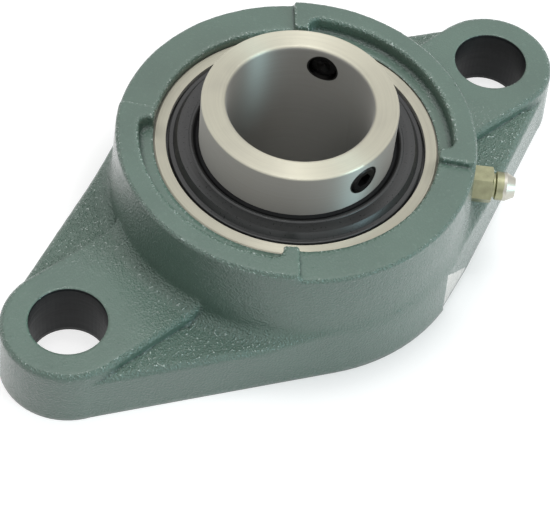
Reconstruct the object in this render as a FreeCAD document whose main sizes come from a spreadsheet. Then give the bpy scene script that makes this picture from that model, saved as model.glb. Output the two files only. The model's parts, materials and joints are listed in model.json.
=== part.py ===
import FreeCAD, Part
import math
import os
import re
import Sketcher
from FreeCAD import Vector

# Two-bolt flange bearing unit for a 30 mm shaft, in millimetres and degrees.
# The mounting face is z = 0, the shaft axis is Z and the two bolts lie on X.

SIZES = {
    # Housing casting
    "bolt_spacing": (117, "centre distance of the two bolt holes"),
    "bolt_hole": (16, "diameter of a bolt hole"),
    "centre_height": (18, "ball row above the mounting face"),
    "flange_width": (78.5, "flange across its middle"),
    "ear_radius": (14.25, "round end of the flange at a bolt"),
    "border_thick": (11.8, "flange beside the raised pads"),
    "pad_thick": (14.2, "flange on the raised pads under the bolt heads"),
    "draft": (2.5, "draft of the flange walls"),
    "border_round": (1.6, "rounding of the flange's upper edge"),
    "pad_round": (1.3, "rounding of the pads' upper edge"),
    "pad_bite": (0.1, "how far the pads stand out past the ears and reach into the boss"),
    "boss_inset": (2.05, "boss inside the middle of the flange"),
    "boss_draft": (3.6, "draft of the boss wall"),
    "boss_round": (0.9, "rounding of the boss edge"),
    "foot_fillet": (3.5, "fillet between boss and flange"),
    "face_height": (31.2, "raised sectors of the boss face"),
    "sector_drop": (1.4, "step down to the low sectors of the boss face"),
    "sector_half": (50.5, "half the angle of a raised sector"),
    "recess_width": (2.95, "width of the recesses beside the mouth"),
    "recess_half": (44.5, "half the angle of a recess"),
    "recess_floor": (28.0, "height of the recess floor"),
    "recess_corner": (2.0, "rounding of the recess ends"),
    "mouth_inset": (0.13, "front edge of the seat behind the outer ring's face"),
    "back_inset": (1.24, "back edge of the seat behind the outer ring's face"),
    "back_chamfer": (1.0, "chamfer of the back opening"),
    "seat_play": (0.06, "gap between the ball-shaped seat and the outer ring"),
    "slot_play": (0.4, "gap around the insert in the loading slots"),
    "gate_angle": (-68, "direction of the ground flat on the flange rim"),
    "gate_depth": (0.5, "depth of the ground flat at the mounting face"),
    "gate_left": (3, "start of the ground flat before its direction"),
    "gate_length": (14, "length of the ground flat"),
    "gate_height": (12, "upper end of the ground flat"),
    # Insert rings
    "shaft_bore": (30, "bore for the shaft"),
    "inner_width": (38.1, "length of the inner ring"),
    "inner_short": (15.9, "ball row to the back end of the inner ring"),
    "inner_outside": (40.2, "outside of the inner ring"),
    "bore_chamfer": (0.85, "rounding of the bore's edges"),
    "ring_edge": (0.45, "outer edges of both rings"),
    "outer_wall": (3.1875, "wall of the outer ring behind its raceway"),
    "outer_width": (20, "width of the outer ring"),
    "inner_depth": (1.9125, "depth of the inner raceway"),
    "outer_depth": (1.5125, "depth of the outer raceway"),
    "seal_step": (0.55, "step in the outer ring from its inside to the seal seat"),
    "groove_bite": (0.5, "depth of the groove that holds the rim of the seal plate"),
    "seal_depth": (1.3, "ring face to the seal groove"),
    "groove_width": (1.2, "width of the seal groove"),
    "grease_offset": (4.7, "ball row to the grease groove"),
    "grease_width": (3.0, "width of the grease groove"),
    "grease_depth": (0.7, "depth of the grease groove"),
    "grease_hole": (1.5, "grease holes through the outer ring"),
    "grease_count": (3, "number of grease holes"),
    # Balls and cage
    "ball_size": (9.525, "ball diameter"),
    "ball_count": (9, "number of balls"),
    "race_ratio": (1.04, "raceway radius over ball radius"),
    "race_play": (0.05, "gap between a ball and each raceway"),
    "cage_in": (1.7, "cage ribbon inside the ball circle"),
    "cage_out": (1.9, "cage ribbon outside the ball circle"),
    "cage_sheet": (0.8, "thickness of the cage sheet"),
    "pocket_play": (0.15, "gap between a ball and its pocket"),
    "rivet_shank": (1.2, "rivet diameter"),
    "rivet_head": (2.3, "rivet head diameter"),
    "rivet_dome": (0.55, "rivet head height"),
    "rivet_play": (0.02, "gap around a rivet shank"),
    # Seals
    "plate_sheet": (0.6, "thickness of the seal plate"),
    "plate_play": (0.05, "gap around the rim of the seal plate"),
    "plate_rim": (1.0, "flat rim of the seal plate"),
    "plate_wall": (1.85, "upright wall from that rim to the step beside the ring's face"),
    "plate_step": (0.95, "step between the upright wall and the sloping band, radially"),
    "plate_round": (0.3, "rounding of the bends of the seal plate"),
    "plate_slope": (0.85, "sloping band of the seal plate, radially"),
    "plate_rise": (1.2, "sloping band of the seal plate, in height"),
    "ridge_width": (0.9, "ridge at the inner edge of the seal plate"),
    "ridge_rise": (0.2, "height of that ridge"),
    "lip_width": (1.2, "rubber lip between plate and inner ring"),
    "lip_play": (0.06, "gap between lip and inner ring"),
    "lip_sag": (0.35, "dip in the middle of the lip"),
    "lip_tip": (0.4, "thickness of the lip at its tip"),
    # Set screws
    "screw_size": (6, "set screw diameter"),
    "screw_length": (4.5, "set screw length"),
    "screw_from_end": (5, "set screw axis from the ring's front end"),
    "screw_angle": (-90, "direction of the first set screw"),
    "screw_spread": (120, "angle between the two set screws"),
    "screw_retreat": (0.6, "set screw tip behind the bore wall"),
    "screw_play": (0.05, "gap around a set screw"),
    "screw_sink": (0.3, "countersink of the tapped holes"),
    "screw_edge": (0.4, "chamfer of a set screw"),
    "cup_width": (3.0, "cup point diameter"),
    "cup_depth": (0.7, "cup point depth"),
    "socket_flats": (3, "hexagon socket across flats"),
    "socket_depth": (2.4, "hexagon socket depth"),
    # Grease nipple
    "nipple_angle": (-45, "direction of the nipple"),
    "nipple_height": (21, "nipple axis above the mounting face"),
    "spot_face": (10, "diameter of the nipple's spot face"),
    "spot_depth": (0.58, "depth of the spot face in the boss wall"),
    "thread_size": (6, "nipple thread diameter"),
    "thread_play": (0.05, "gap around the nipple thread"),
    "shank_clear": (1.0, "end of the nipple thread outside the ball-shaped seat"),
    "shank_gap": (0.3, "tapped hole beyond the nipple"),
    "grease_channel": (3, "drilled channel to the seat"),
    "hex_flats": (7, "nipple hexagon across flats"),
    "hex_height": (4.4, "nipple hexagon height"),
    "hex_edge": (0.5, "turned chamfer of the nipple hexagon"),
    "neck_width": (5.0, "nipple neck diameter"),
    "neck_height": (0.5, "nipple neck height"),
    "head_width": (6.0, "nipple head diameter"),
    "head_shoulder": (0.3, "slope under the nipple head"),
    "head_height": (2.1, "straight part of the nipple head"),
    "tip_width": (4.2, "nipple tip diameter"),
    "tip_height": (1.8, "cone of the nipple tip"),
    "passage": (2.6, "bore inside the nipple"),
    "outlet": (1.3, "opening at the nipple tip"),
    "outlet_depth": (0.5, "length of that opening"),
    "check_ball": (2.0, "check ball diameter"),
    "check_play": (0.05, "gap between the check ball and its seat"),
    "spring_wire": (0.3, "check spring wire"),
    "spring_width": (1.8, "check spring diameter"),
    "spring_pitch": (1.1, "check spring pitch"),
    "stake_width": (1.2, "staked end that keeps the spring in"),
    "stake_height": (0.6, "thickness of the staked end"),
}

# Diameters, radii and heights that follow from the sizes. The insert grows outwards from the inner ring,
# the boss inwards from the flange.
SHARED = {
    "race_radius": ("race_ratio * ball_size / 2", "groove radius of both raceways"),
    "inner_race": ("inner_outside / 2 - inner_depth + race_radius", "centre of the inner groove"),
    "pitch_circle": ("inner_outside - 2 * (inner_depth - race_play) + ball_size", "ball centres"),
    "outer_race": ("(pitch_circle + ball_size) / 2 + race_play - race_radius", "centre of the outer groove"),
    "land_inside": ("2 * (outer_race + race_radius - outer_depth)", "inside of the outer ring"),
    "seal_seat": ("land_inside + 2 * seal_step", "inside of the outer ring above the seal"),
    "seal_groove": ("seal_seat + 2 * groove_bite", "groove that holds the rim of the seal plate"),
    "sphere_outside": ("2 * (outer_race + race_radius + outer_wall)", "ball-shaped outside"),
    "seat_radius": ("sphere_outside / 2 + seat_play", "ball-shaped seat in the housing"),
    "mouth_level": ("outer_width / 2 - mouth_inset", "ball row to the front edge of the seat"),
    "back_level": ("outer_width / 2 - back_inset", "ball row to the back edge of the seat"),
    "mouth": ("2 * sqrt(seat_radius^2 - mouth_level^2)", "front opening around the insert"),
    "back_mouth": ("2 * sqrt(seat_radius^2 - back_level^2)", "back opening around the insert"),
    "recess_outside": ("mouth + 2 * recess_width", "outer diameter of the recesses"),
    "cage_inside": ("pitch_circle - 2 * cage_in", "inside of the cage ribbon"),
    "cage_outside": ("pitch_circle + 2 * cage_out", "outside of the cage ribbon"),
    "inner_bottom": ("centre_height - inner_short", "back end of the inner ring"),
    "inner_top": ("inner_bottom + inner_width", "front end of the inner ring"),
    "screw_height": ("inner_top - screw_from_end", "axis of the set screws"),
    "seal_shoulder": ("outer_width / 2 - seal_depth - groove_width", "ball row to the seal plate"),
    "step_top": ("seal_shoulder + plate_sheet + plate_wall", "ball row to the step of the seal plate"),
    "plate_top": ("step_top + plate_rise", "ball row to the flat ring of the seal plate"),
    "low_face": ("face_height - sector_drop", "low sectors of the boss face"),
    "boss_top": ("flange_width - 2 * boss_inset", "boss diameter at its face"),
    "nipple_drop": ("face_height - boss_round - nipple_height", "nipple axis below the boss edge"),
    "nipple_seat": ("boss_top / 2 + nipple_drop * tan(boss_draft) - spot_depth", "nipple seat"),
    "shank_length": ("nipple_seat - seat_radius - shank_clear", "nipple thread length"),
    "nipple_tip": ("hex_height + neck_height + head_shoulder + head_height + tip_height", "nipple length"),
    "check_seat": ("nipple_tip - outlet_depth", "upper end of the check ball's seat"),
    "check_cone": ("check_seat - (passage - outlet) / 2", "lower end of the check ball's seat"),
    "check_place": ("check_cone - check_ball / 2 + check_play", "centre of the check ball"),
}

doc = FreeCAD.newDocument("flange_bearing_unit")


def make_sheet():
    """The driving dimensions and what follows from them, one row each: words, content, alias."""
    sheet = doc.addObject("Spreadsheet::Sheet", "Sizes")
    rows = [(alias, str(number), words) for alias, (number, words) in SIZES.items()]
    rows += [(alias, f"={formula}", words) for alias, (formula, words) in SHARED.items()]
    for row, (alias, content, words) in enumerate(rows, start=1):
        sheet.set(f"A{row}", words)
        sheet.setAlias(f"B{row}", alias)
        sheet.set(f"B{row}", content)
    doc.recompute()
    return sheet


def bind(text):
    """Turn the size names in a formula into references to the sheet."""
    known = SIZES.keys() | SHARED.keys()
    return re.sub(r"[a-z_]+", lambda m: f"Sizes.{m[0]}" if m[0] in known else m[0], text)


def value(text):
    """What a formula gives with the sheet's present numbers."""
    return float(sheet.evalExpression(bind(text)))


def add(type_id, name, **formulas):
    """A document object whose named properties follow formulas."""
    thing = doc.addObject(type_id, name)
    for prop, formula in formulas.items():
        thing.setExpression(prop, bind(formula))
    return thing


def place(thing, x="0", y="0", z="0", yaw="0", pitch="0", roll="0"):
    """Put an object at a formula-driven place and turn."""
    spot = f"vector({bind(x)}; {bind(y)}; {bind(z)})"
    turn = f"rotation({bind(yaw)}; {bind(pitch)}; {bind(roll)})"
    thing.setExpression("Placement", f"placement({spot}; {turn})")
    return thing


def arc_between(start, end, radius, left):
    """The arc of under half a turn from start to end that bends left or right."""
    chord = end - start
    half = chord.Length / 2
    side = Vector(-chord.y, chord.x, 0).normalize()
    reach = math.sqrt(max(radius**2 - half**2, 0))
    centre = (start + end) / 2 + side * (reach if left else -reach)
    first, last = (start, end) if left else (end, start)
    begin = math.atan2(first.y - centre.y, first.x - centre.x)
    finish = math.atan2(last.y - centre.y, last.x - centre.x)
    return Part.ArcOfCircle(Part.Circle(centre, Vector(0, 0, 1), radius), begin, finish)


def pin_point(sketch, geometry, end, x, y):
    """Hold a sketch point at formula-driven coordinates."""
    for axis, kind, formula in ((-2, "DistanceX", x), (-1, "DistanceY", y)):
        if formula == "0":
            sketch.addConstraint(Sketcher.Constraint("PointOnObject", geometry, end, axis))
            continue
        row = sketch.addConstraint(Sketcher.Constraint(kind, -1, 1, geometry, end, value(formula)))
        sketch.renameConstraint(row, f"{kind}_{geometry}")
        sketch.setExpression(f"Constraints.{kind}_{geometry}", bind(formula))


def hold_radius(sketch, geometry, formula):
    """Hold the radius of a sketch circle or arc."""
    row = sketch.addConstraint(Sketcher.Constraint("Radius", geometry, value(formula)))
    sketch.renameConstraint(row, f"Radius_{geometry}")
    sketch.setExpression(f"Constraints.Radius_{geometry}", bind(formula))


def closed_outline(sketch, corners):
    """A closed outline through (x, y) corners. A corner (x, y, radius, "left" or "right") is reached
    by an arc of that radius, bending that way, and any other by a straight line."""
    spots = [Vector(value(corner[0]), value(corner[1]), 0) for corner in corners]
    ends = []
    for index, corner in enumerate(corners):
        start, end = spots[index - 1], spots[index]
        if len(corner) == 2:
            line = sketch.addGeometry(Part.LineSegment(start, end), False)
            ends.append((line, 1, 2))
            continue
        left = corner[3] == "left"
        arc = sketch.addGeometry(arc_between(start, end, value(corner[2]), left), False)
        ends.append((arc, 1, 2) if left else (arc, 2, 1))
    for index, (geometry, begin, finish) in enumerate(ends):
        after, after_begin, _ = ends[(index + 1) % len(ends)]
        sketch.addConstraint(Sketcher.Constraint("Coincident", geometry, finish, after, after_begin))
        pin_point(sketch, geometry, finish, corners[index][0], corners[index][1])
        if len(corners[index]) == 4:
            hold_radius(sketch, geometry, corners[index][2])


def hexagon_corners(flats):
    """Corners of a hexagon with the given width across flats."""
    reach = f"{flats} / 2 / cos(30)"
    corners = []
    for turn in range(30, 390, 60):
        across = "0" if turn % 180 == 90 else f"{reach} * cos({turn})"
        corners.append((across, f"{reach} * sin({turn})"))
    return corners


def tangent_outline(name, ear_radius, middle_radius=None):
    """Flange outline: round ears on the bolts, joined by tangents to a round middle. With no middle
    radius the sides run straight from ear to ear."""
    sketch = doc.addObject("Sketcher::SketchObject", name)
    ear = value(ear_radius)
    reach = value("bolt_spacing / 2")
    middle = value(middle_radius) if middle_radius else ear
    lean = math.acos((middle - ear) / reach)
    circles = [
        (Vector(reach, 0, 0), ear, -lean, lean),
        (Vector(-reach, 0, 0), ear, math.pi - lean, math.pi + lean),
    ]
    if middle_radius:
        circles.insert(1, (Vector(0, 0, 0), middle, lean, math.pi - lean))
        circles.append((Vector(0, 0, 0), middle, math.pi + lean, 2 * math.pi - lean))
    arcs = []
    for centre, radius, begin, finish in circles:
        circle = Part.Circle(centre, Vector(0, 0, 1), radius)
        arcs.append(sketch.addGeometry(Part.ArcOfCircle(circle, begin, finish), False))
    for index, arc in enumerate(arcs):
        after = arcs[(index + 1) % len(arcs)]
        start, end = sketch.Geometry[arc].EndPoint, sketch.Geometry[after].StartPoint
        line = sketch.addGeometry(Part.LineSegment(start, end), False)
        sketch.addConstraint(Sketcher.Constraint("Tangent", arc, 2, line, 1))
        sketch.addConstraint(Sketcher.Constraint("Tangent", line, 2, after, 1))
    right_ear, left_ear = arcs[0], arcs[len(arcs) // 2]
    pin_point(sketch, right_ear, 3, "bolt_spacing / 2", "0")
    sketch.addConstraint(Sketcher.Constraint("Symmetric", right_ear, 3, left_ear, 3, -1, 1))
    hold_radius(sketch, right_ear, ear_radius)
    sketch.addConstraint(Sketcher.Constraint("Equal", right_ear, left_ear))
    if middle_radius:
        for arc in (arcs[1], arcs[3]):
            sketch.addConstraint(Sketcher.Constraint("Coincident", arc, 3, -1, 1))
        hold_radius(sketch, arcs[1], middle_radius)
        sketch.addConstraint(Sketcher.Constraint("Equal", arcs[1], arcs[3]))
    return sketch


def drafted(name, sketch, height):
    """Extrude an outline upwards with the flange's draft."""
    block = add("Part::Extrusion", name, LengthFwd=height, TaperAngle="-draft")
    block.Base = sketch
    block.DirMode = "Normal"
    block.Solid = True
    return block


def rounded(base, name, radius, wanted):
    """Round the edges of an object that the test picks."""
    doc.recompute()
    size = value(radius)
    fillet = doc.addObject("Part::Fillet", name)
    fillet.Base = base
    edges = enumerate(base.Shape.Edges, start=1)
    fillet.Edges = [(index, size, size) for index, edge in edges if wanted(edge)]
    return fillet


def on_rim(height):
    """A test for the upper edges of a drafted block, not for those of the boss or its fillet."""
    level = value(height)
    wall = value(boss_wall(height))
    rim = value("flange_width / 2")

    def wanted(edge):
        on_axis = isinstance(edge.Curve, Part.Circle) and abs(edge.Curve.Center.x) < 1e-6
        if on_axis and edge.Curve.Radius > rim:
            return False
        ends = edge.Vertexes
        return all(v.Z > level - 1e-6 for v in ends) and all(math.hypot(v.X, v.Y) > wall for v in ends)

    return wanted


def turned(name, corners):
    """A solid of revolution about Z from an outline of (radius, height) corners."""
    sketch = doc.addObject("Sketcher::SketchObject", f"{name}_profile")
    sketch.Placement = FreeCAD.Placement(Vector(0, 0, 0), FreeCAD.Rotation(Vector(1, 0, 0), 90))
    closed_outline(sketch, corners)
    solid = doc.addObject("Part::Revolution", name)
    solid.Source = sketch
    solid.Axis = Vector(0, 0, 1)
    solid.Angle = 360
    solid.Solid = True
    return solid


def joined(type_id, name, shapes):
    """A fuse or a common of several objects."""
    result = doc.addObject(type_id, name)
    result.Shapes = shapes
    return result


def cut(name, base, tool):
    """One object less another."""
    result = doc.addObject("Part::Cut", name)
    result.Base = base
    result.Tool = tool
    return result


def boss_wall(level):
    """Radius of the drafted boss wall at a height."""
    return f"(boss_top / 2 + (face_height - boss_round - ({level})) * tan(boss_draft))"


def boss_corners(face):
    """Half section of the flange top with the boss rising from it to a rounded edge at face."""
    shoulder = boss_wall("border_thick + foot_fillet")
    edge = boss_wall(f"{face} - boss_round")
    return [
        ("0", "0"),
        ("bolt_spacing", "0"),
        ("bolt_spacing", "border_thick"),
        (f"{shoulder} + foot_fillet", "border_thick"),
        (shoulder, "border_thick + foot_fillet", "foot_fillet", "right"),
        (edge, f"{face} - boss_round"),
        (f"{edge} - boss_round", face, "boss_round", "left"),
        ("0", face),
    ]


def pad_corners():
    """Half section of the bolt pads' top with the fillet up to the boss wall."""
    shoulder = f"({boss_wall('pad_thick + foot_fillet')} - pad_bite)"
    return [
        ("0", "0"),
        ("bolt_spacing", "0"),
        ("bolt_spacing", "pad_thick"),
        (f"{shoulder} + foot_fillet", "pad_thick"),
        (shoulder, "pad_thick + foot_fillet", "foot_fillet", "right"),
        ("0", "pad_thick + foot_fillet"),
    ]


def seat_corners():
    """Half section of what is cut out for the insert: back opening, ball-shaped seat, front mouth."""
    back_edge = "centre_height - sqrt(seat_radius^2 - (back_mouth / 2)^2)"
    front_edge = "centre_height + sqrt(seat_radius^2 - (mouth / 2)^2)"
    return [
        ("0", "0"),
        ("back_mouth / 2 + back_chamfer", "0"),
        ("back_mouth / 2", "back_chamfer"),
        ("back_mouth / 2", back_edge),
        ("mouth / 2", front_edge, "seat_radius", "left"),
        ("mouth / 2", "face_height + boss_round"),
        ("0", "face_height + boss_round"),
    ]


def sector(name, radius, half_angle, floor, middle):
    """A slice of a cylinder from floor up past the boss face, half_angle each side of middle."""
    slice_ = add("Part::Cylinder", name, Radius=radius, Height=f"face_height + boss_round - ({floor})")
    slice_.setExpression("Angle", bind(f"2 * {half_angle}"))
    return place(slice_, z=floor, yaw=f"{middle} - {half_angle}")


def recess(name, middle):
    """One crescent recess beside the mouth, with rounded ends."""
    slice_ = sector(f"{name}_slice", "recess_outside / 2", "recess_half", "recess_floor", middle)
    reach = value("recess_outside / 2")

    def at_end(edge):
        upright = abs(edge.Vertexes[0].Z - edge.Vertexes[-1].Z) > 1e-6
        return upright and all(abs(math.hypot(v.X, v.Y) - reach) < 1e-6 for v in edge.Vertexes)

    return rounded(slice_, name, "recess_corner", at_end)


def along_nipple(name, radius, start, end):
    """A round cut on the nipple's axis, between two distances from the shaft axis."""
    drill = add("Part::Cylinder", name, Radius=radius, Height=f"({end}) - ({start})")
    return place(
        drill,
        f"({start}) * cos(nipple_angle)",
        f"({start}) * sin(nipple_angle)",
        "nipple_height",
        yaw="nipple_angle",
        pitch="90",
    )


def loading_slots():
    """Two notches in the back of the seat, through which the insert goes in edge on."""
    reach = "(seat_radius + slot_play)"
    width = "outer_width + 2 * slot_play"
    bar = add("Part::Box", "slot_bar", Length=f"2 * {reach}", Width=width, Height="centre_height")
    place(bar, f"-{reach}", "-outer_width / 2 - slot_play")
    round_ = add("Part::Cylinder", "slot_round", Radius=reach, Height="centre_height")
    return joined("Part::MultiCommon", "loading_slots", [bar, round_])


def gate_flat():
    """The flat on the flange rim where the casting's gate was ground off."""
    block = add("Part::Box", "gate_flat", Length="foot_fillet", Width="gate_length", Height="gate_height")
    reach = "(flange_width / 2 - gate_depth)"
    return place(
        block,
        f"{reach} * cos(gate_angle) + gate_left * sin(gate_angle)",
        f"{reach} * sin(gate_angle) - gate_left * cos(gate_angle)",
        yaw="gate_angle",
    )


def make_housing():
    """Cast housing: oval flange with raised bolt pads, boss, ball-shaped seat and nipple hole."""
    flange_line = tangent_outline("flange_outline", "ear_radius", "flange_width / 2")
    pad_line = tangent_outline("pad_outline", "ear_radius + pad_bite")
    flange_block = drafted("flange_block", flange_line, "face_height")
    low_boss = turned("low_boss", boss_corners("low_face"))
    flange = joined("Part::MultiCommon", "flange_raw", [flange_block, low_boss])
    flange = rounded(flange, "flange", "border_round", on_rim("border_thick"))
    pad_block = drafted("pad_block", pad_line, "face_height")
    pads = joined("Part::MultiCommon", "pads_raw", [pad_block, turned("pad_top", pad_corners())])
    pads = rounded(pads, "bolt_pads", "pad_round", on_rim("pad_thick"))
    high_boss = turned("high_boss", boss_corners("face_height"))
    over_low = "low_face - boss_round - sector_drop"
    raised_slices = [
        sector("raised_slice_right", "boss_top", "sector_half", over_low, "0"),
        sector("raised_slice_left", "boss_top", "sector_half", over_low, "180"),
    ]
    slices = joined("Part::MultiFuse", "raised_slices", raised_slices)
    raised = joined("Part::MultiCommon", "raised_sectors", [high_boss, slices])
    casting = joined("Part::MultiFuse", "casting", [flange, pads, raised])

    seat = turned("insert_seat", seat_corners())
    bolt_holes = []
    for side, sign in (("right", ""), ("left", "-")):
        hole = add("Part::Cylinder", f"bolt_hole_{side}", Radius="bolt_hole / 2", Height="face_height")
        bolt_holes.append(place(hole, f"{sign}bolt_spacing / 2"))
    tapped_end = "nipple_seat - shank_length - shank_gap"
    tapping = "thread_size / 2 + thread_play"
    channel_end = f"{tapped_end} + shank_gap"
    drilling = [
        along_nipple("spot_face_cut", "spot_face / 2", "nipple_seat", "flange_width / 2 + foot_fillet"),
        along_nipple("nipple_tapping", tapping, tapped_end, "nipple_seat + shank_gap"),
        along_nipple("grease_drilling", "grease_channel / 2", "mouth / 2 - shank_gap", channel_end),
    ]
    recesses = [recess("recess_right", "0"), recess("recess_left", "180")]
    machining = joined(
        "Part::MultiFuse",
        "machining",
        [seat, loading_slots(), gate_flat()] + bolt_holes + drilling + recesses,
    )
    return cut("housing", casting, machining)


def origin_plane(body, role):
    """One of a body's own base planes or axes."""
    return next(feature for feature in body.Origin.OriginFeatures if feature.Role == role)


def sketch_in(body, name, role, lift="0"):
    """A sketch on one of the body's base planes, lifted along the plane's normal."""
    sketch = body.newObject("Sketcher::SketchObject", name)
    sketch.AttachmentSupport = (origin_plane(body, role), [""])
    sketch.MapMode = "FlatFace"
    if lift != "0":
        sketch.setExpression("AttachmentOffset", f"placement(vector(0; 0; {bind(lift)}); rotation(0; 0; 0))")
    return sketch


def turned_body(name, corners):
    """A body turned about its own Z from an outline of (radius, height) corners."""
    body = doc.addObject("PartDesign::Body", name)
    sketch = sketch_in(body, f"{name}_profile", "XZ_Plane")
    closed_outline(sketch, corners)
    turning = body.newObject("PartDesign::Revolution", f"{name}_turning")
    turning.Profile = sketch
    turning.ReferenceAxis = (sketch, ["V_Axis"])
    turning.Angle = 360
    return body


def pocket(body, sketch, name, depth, upwards=False, taper=None):
    """Cut a sketch into a body, and make sure that the cut removes something."""
    doc.recompute()
    before = body.Shape.Volume
    feature = body.newObject("PartDesign::Pocket", name)
    feature.Profile = sketch
    feature.setExpression("Length", bind(depth))
    feature.Reversed = upwards
    if taper:
        feature.TaperAngle = taper
    doc.recompute()
    if body.Shape.Volume >= before:
        raise RuntimeError(f"{name} cuts nothing")
    return feature


def centred_circle(sketch, radius, height=None):
    """A circle about the sketch's vertical axis, at a height or at the origin."""
    spot = Vector(0, value(height) if height else 0, 0)
    circle = sketch.addGeometry(Part.Circle(spot, Vector(0, 0, 1), value(radius)), False)
    pin_point(sketch, circle, 3, "0", height or "0")
    hold_radius(sketch, circle, radius)


def patterned(body, features, name, count, angle):
    """Repeat features of a body about its Z."""
    pattern = body.newObject("PartDesign::PolarPattern", name)
    pattern.Originals = features
    pattern.Axis = (origin_plane(body, "Z_Axis"), [""])
    pattern.setExpression("Angle", bind(angle))
    pattern.setExpression("Occurrences", bind(count))
    body.Tip = pattern
    return pattern


def make_outer_ring():
    """Outer ring about the ball row: ball-shaped outside with a grease groove, raceway, seal grooves."""
    half = "(outer_width / 2)"
    edge = f"sqrt((sphere_outside / 2)^2 - ({half} - ring_edge)^2)"
    groove_low = "(grease_offset - grease_width / 2)"
    groove_high = "(grease_offset + grease_width / 2)"
    sphere = "sphere_outside / 2"
    at_low = f"sqrt(({sphere})^2 - {groove_low}^2)"
    at_high = f"sqrt(({sphere})^2 - {groove_high}^2)"
    groove_floor = f"{at_high} - grease_depth"
    seal_top = f"({half} - seal_depth)"
    race_edge = "sqrt(race_radius^2 - (land_inside / 2 - outer_race)^2)"
    corners = [
        ("seal_seat / 2", f"-{half}"),
        (f"{edge} - ring_edge", f"-{half}"),
        (edge, f"ring_edge - {half}"),
        (at_low, groove_low, sphere, "left"),
        (groove_floor, groove_low),
        (groove_floor, groove_high),
        (at_high, groove_high),
        (edge, f"{half} - ring_edge", sphere, "left"),
        (f"{edge} - ring_edge", half),
        ("seal_seat / 2", half),
        ("seal_seat / 2", seal_top),
        ("seal_groove / 2", seal_top),
        ("seal_groove / 2", "seal_shoulder"),
        ("land_inside / 2", "seal_shoulder"),
        ("land_inside / 2", race_edge),
        ("land_inside / 2", f"-{race_edge}", "race_radius", "right"),
        ("land_inside / 2", "-seal_shoulder"),
        ("seal_groove / 2", "-seal_shoulder"),
        ("seal_groove / 2", f"-{seal_top}"),
        ("seal_seat / 2", f"-{seal_top}"),
    ]
    body = turned_body("outer_ring", corners)
    drill = sketch_in(body, "grease_hole_sketch", "XZ_Plane")
    centred_circle(drill, "grease_hole / 2", "grease_offset")
    hole = pocket(body, drill, "grease_hole_cut", "sphere_outside / 2", upwards=True)
    patterned(body, [hole], "grease_holes", "grease_count", "360")
    return place(body, z="centre_height", yaw="nipple_angle + 90")


def make_inner_ring():
    """Wide inner ring: shaft bore, raceway and two tapped holes near its front end."""
    outside = "inner_outside / 2"
    race_edge = f"sqrt(race_radius^2 - (inner_race - {outside})^2)"
    corners = [
        ("shaft_bore / 2 + bore_chamfer", "inner_bottom", "bore_chamfer", "left"),
        (f"{outside} - ring_edge", "inner_bottom"),
        (outside, "inner_bottom + ring_edge", "ring_edge", "left"),
        (outside, f"centre_height - {race_edge}"),
        (outside, f"centre_height + {race_edge}", "race_radius", "right"),
        (outside, "inner_top - ring_edge"),
        (f"{outside} - ring_edge", "inner_top", "ring_edge", "left"),
        ("shaft_bore / 2 + bore_chamfer", "inner_top"),
        ("shaft_bore / 2", "inner_top - bore_chamfer", "bore_chamfer", "left"),
        ("shaft_bore / 2", "inner_bottom + bore_chamfer"),
    ]
    body = turned_body("inner_ring", corners)
    drill = sketch_in(body, "tapped_hole_sketch", "XZ_Plane")
    centred_circle(drill, "screw_size / 2 + screw_play", "screw_height")
    hole = pocket(body, drill, "tapped_hole", outside, upwards=True)
    rim = sketch_in(body, "countersink_sketch", "XZ_Plane", f"{outside} - screw_sink")
    centred_circle(rim, "screw_size / 2 + screw_play", "screw_height")
    sink = pocket(body, rim, "countersink", "2 * screw_sink", upwards=True, taper=45)
    patterned(body, [hole, sink], "tapped_holes", "2", "screw_spread")
    return place(body, yaw="screw_angle + 90")


def make_seal_plate(name, roll):
    """Pressed seal plate: from its rim in the groove a wall, a step and a slope up to a ridged flat ring."""
    rim = "(seal_groove / 2 - plate_play)"
    wall = f"({rim} - plate_rim)"
    slope_start = f"({wall} - plate_step)"
    slope_end = f"({slope_start} - plate_slope)"
    inner = "(inner_outside / 2 + lip_width)"
    ridge = "((ridge_width / 2)^2 + ridge_rise^2) / (2 * ridge_rise)"
    corners = [
        (rim, "seal_shoulder"),
        (rim, "seal_shoulder + plate_sheet"),
        (wall, "seal_shoulder + plate_sheet"),
        (wall, "step_top - plate_round"),
        (f"{wall} - plate_round", "step_top", "plate_round", "left"),
        (slope_start, "step_top"),
        (slope_end, "plate_top"),
        (f"{inner} + ridge_width", "plate_top"),
        (inner, "plate_top", ridge, "left"),
        (inner, "plate_top - plate_sheet"),
        (f"{slope_end} - plate_sheet / 2", "plate_top - plate_sheet"),
        (f"{slope_start} - plate_sheet / 2", "step_top - plate_sheet"),
        (f"{wall} - plate_sheet", "step_top - plate_sheet"),
        (f"{wall} - plate_sheet", "seal_shoulder"),
    ]
    return place(turned_body(name, corners), z="centre_height", roll=roll)


def make_seal_lip(name, roll):
    """Rubber lip bonded to the inner edge of the seal plate, reaching to the inner ring."""
    root = "(inner_outside / 2 + lip_width)"
    tip = "(inner_outside / 2 + lip_play)"
    waist = f"({tip} + lip_width / 2)"
    corners = [
        (root, "plate_top - plate_sheet"),
        (root, "plate_top"),
        (waist, "plate_top - lip_sag"),
        (tip, "plate_top"),
        (tip, "plate_top - lip_tip"),
        (waist, "plate_top - lip_sag - plate_sheet"),
    ]
    return place(turned_body(name, corners), z="centre_height", roll=roll)


def on_pitch(thing, turn, z="0"):
    """Put an object on the pitch circle, turned by an angle about the shaft axis."""
    return place(thing, f"pitch_circle / 2 * cos({turn})", f"pitch_circle / 2 * sin({turn})", z, yaw=turn)


def ball_turns(offset=0):
    """Angle of each ball, or of the gaps between balls with an offset of one half."""
    count = round(value("ball_count"))
    return [str(360 / count * (index + offset)) for index in range(count)]


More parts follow.
